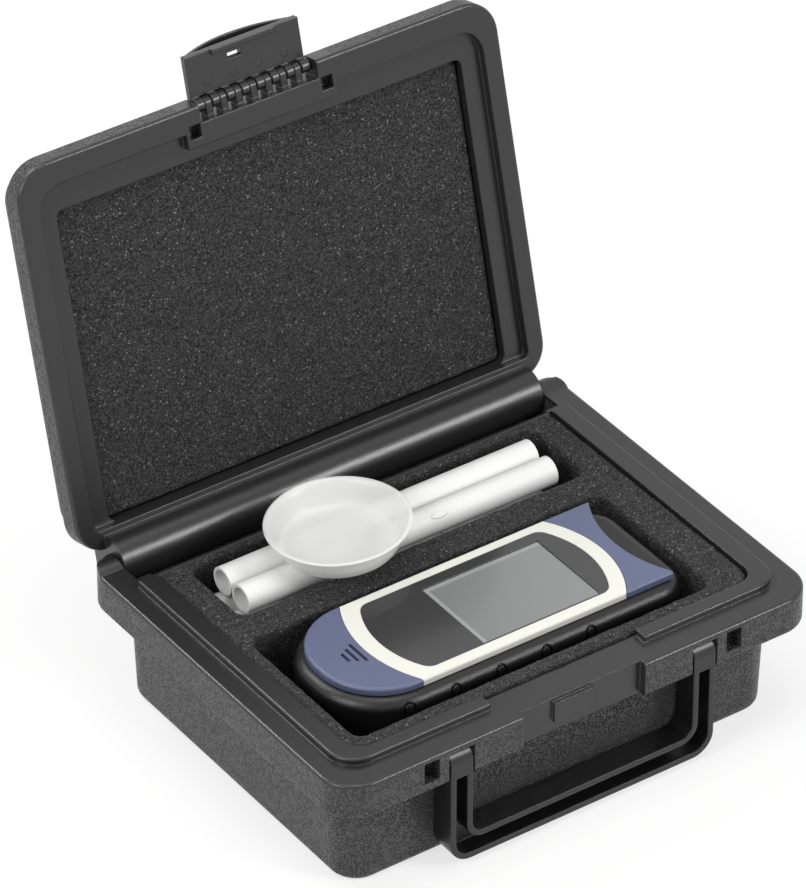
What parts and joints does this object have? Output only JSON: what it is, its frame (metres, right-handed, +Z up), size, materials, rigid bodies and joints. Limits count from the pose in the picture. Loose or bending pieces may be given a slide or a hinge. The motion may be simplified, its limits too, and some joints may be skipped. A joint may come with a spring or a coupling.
{
  "type": "breath tester kit in carry case",
  "caption": "Handheld breath tester with display, mouthpiece tubes and a sampling cup in a foam-lined moulded carry case with hinged lid, latch and bail handle.",
  "frame": {"origin": "middle of the flat underside of the case base", "axes": "+Z up, latch and handle face -Y, hinge at +Y, +X to the right seen from the front"},
  "size_m": [0.2, 0.222, 0.208],
  "materials": {
    "case_plastic": "textured",
    "foam": "open cell foam",
    "steel": "bright",
    "grip_plastic": "satin",
    "blue_plastic": "satin",
    "white_plastic": "satin",
    "window_plastic": "gloss",
    "display": "gloss",
    "board": "solder mask",
    "nickel": "plated",
    "cell_can": "printed sleeve",
    "tube_plastic": "gloss",
    "cup_plastic": "frosted"
  },
  "bodies": {
    "case": {"case_base": "case_plastic", "base_foam": "foam", "hinge_pins": "steel", "handle_pins": "steel"},
    "lid": {"case_lid": "case_plastic", "lid_foam": "foam", "latch_pin": "steel"},
    "latch": {"latch": "case_plastic"},
    "handle": {"handle": "case_plastic"},
    "tester": {"lower_shell": "grip_plastic", "front_cap": "blue_plastic", "rear_cap": "blue_plastic", "bezel": "white_plastic", "window_panel": "window_plastic", "lcd_module": "display", "main_board": "board", "board_screws": "steel", "shell_screws": "steel", "cover_screws": "steel", "battery_cover": "grip_plastic", "batteries": "cell_can", "battery_contacts": "nickel", "fuel_cell": "window_plastic", "sampling_pump": "nickel", "breath_inlet": "grip_plastic", "speaker": "window_plastic"},
    "power_button": {"power_button": "grip_plastic"},
    "lower_tubes": {"mouthpiece_lower_rear": "tube_plastic", "mouthpiece_lower_front": "tube_plastic"},
    "upper_tubes": {"mouthpiece_upper_rear": "tube_plastic", "mouthpiece_upper_front": "tube_plastic"},
    "cup": {"sampling_cup": "cup_plastic"}
  },
  "joints": [
    {"name": "lid_hinge", "type": "hinge", "parent": "case", "child": "lid", "pos_m": [0, 0.073, 0.0481], "axis": [-1, 0, 0], "range_deg": [-104.3, 0]},
    {"name": "latch_hinge", "type": "hinge", "parent": "lid", "child": "latch", "pos_m": [0, 0.12032, 0.19083], "axis": [-1, 0, 0], "range_deg": [-90, 0]},
    {"name": "handle_pivot", "type": "hinge", "parent": "case", "child": "handle", "pos_m": [0, -0.0743, 0.045], "axis": [-1, 0, 0], "range_deg": [0, 95]},
    {"name": "tester_lift", "type": "slide", "parent": "case", "child": "tester", "axis": [0, 0, 1], "range_m": [0, 0.08]},
    {"name": "power_press", "type": "slide", "parent": "tester", "child": "power_button", "axis": [0, -1, 0], "range_m": [0, 0.0008], "stiffness_N_per_m": 600, "springref_m": -0.0002},
    {"name": "lower_tubes_lift", "type": "slide", "parent": "case", "child": "lower_tubes", "axis": [0, 0, 1], "range_m": [0, 0.06]},
    {"name": "upper_tubes_lift", "type": "slide", "parent": "lower_tubes", "child": "upper_tubes", "axis": [0, 0, 1], "range_m": [0, 0.04]},
    {"name": "cup_lift", "type": "slide", "parent": "upper_tubes", "child": "cup", "axis": [0, 0, 1], "range_m": [0, 0.05]}
  ]
}
